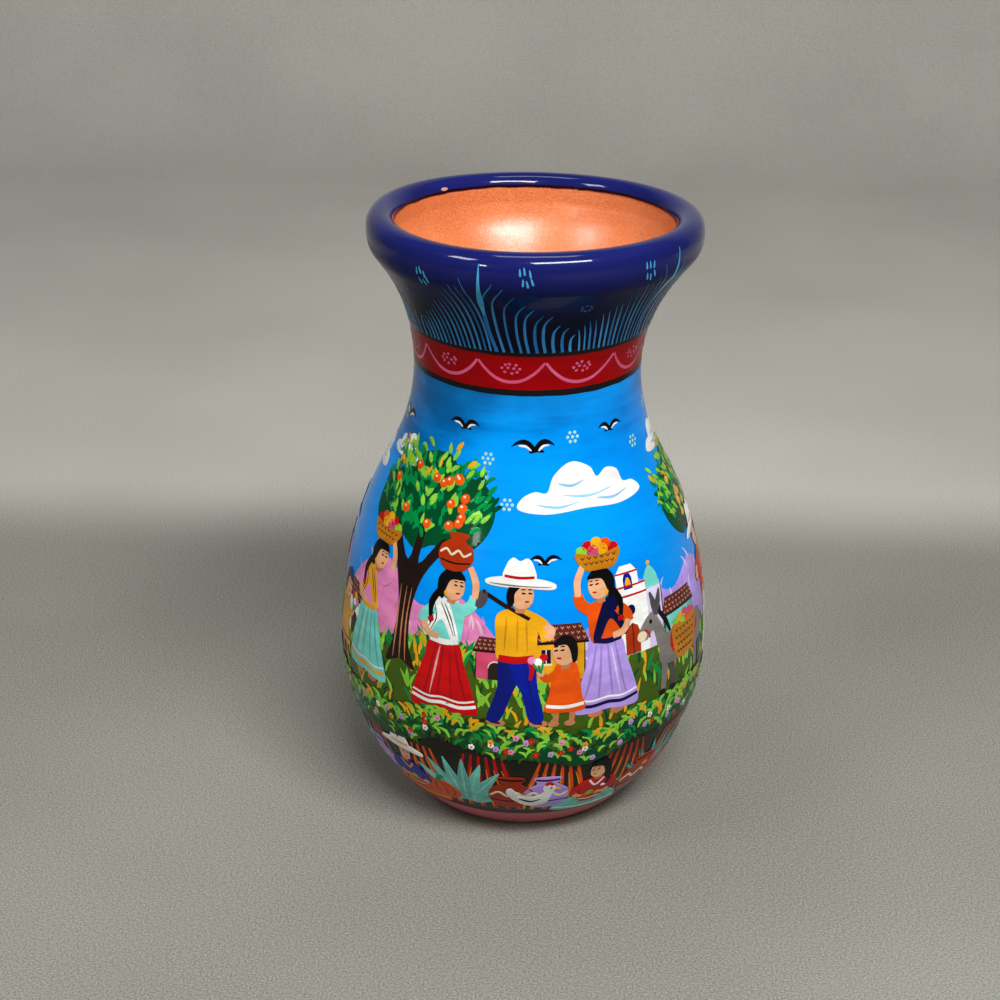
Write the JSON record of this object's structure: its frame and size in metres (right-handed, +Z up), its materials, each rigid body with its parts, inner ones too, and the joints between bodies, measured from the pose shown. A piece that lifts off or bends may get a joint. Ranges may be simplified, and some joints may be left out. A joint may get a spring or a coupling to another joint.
{
  "type": "painted earthenware vase",
  "caption": "Hand-built earthenware vase with a round belly, a drawn-in neck and a thick rolled lip, brush painted with bands and a folk landscape under varnish, for flowers or display.",
  "frame": {"origin": "middle of the foot's underside, on the floor plane", "axes": "+Z up along the axis of turning, -Y towards the viewer of the picture, +X to that viewer's right"},
  "size_m": [0.1454, 0.1454, 0.24],
  "materials": {
    "terracotta": "satin",
    "plum_paint": "gloss",
    "black_paint": "gloss",
    "ground_paint": "gloss",
    "sky_paint": "gloss",
    "deep_sky_paint": "gloss",
    "red_paint": "gloss",
    "navy_paint": "gloss",
    "cobalt_paint": "gloss"
  },
  "bodies": {
    "root": {"foot_slab": "terracotta", "lower_bowl": "terracotta", "upper_bowl": "terracotta", "neck_collar": "terracotta", "neck_flare": "terracotta", "lip_coil": "terracotta", "plum_base_band": "plum_paint", "base_line": "black_paint", "ground_coat": "ground_paint", "sky_coat": "sky_paint", "shoulder_sky_coat": "deep_sky_paint", "lower_neck_line": "black_paint", "red_band": "red_paint", "upper_neck_line": "black_paint", "blue_neck_coat": "navy_paint", "blue_lip_coat": "cobalt_paint"}
  },
  "joints": []
}
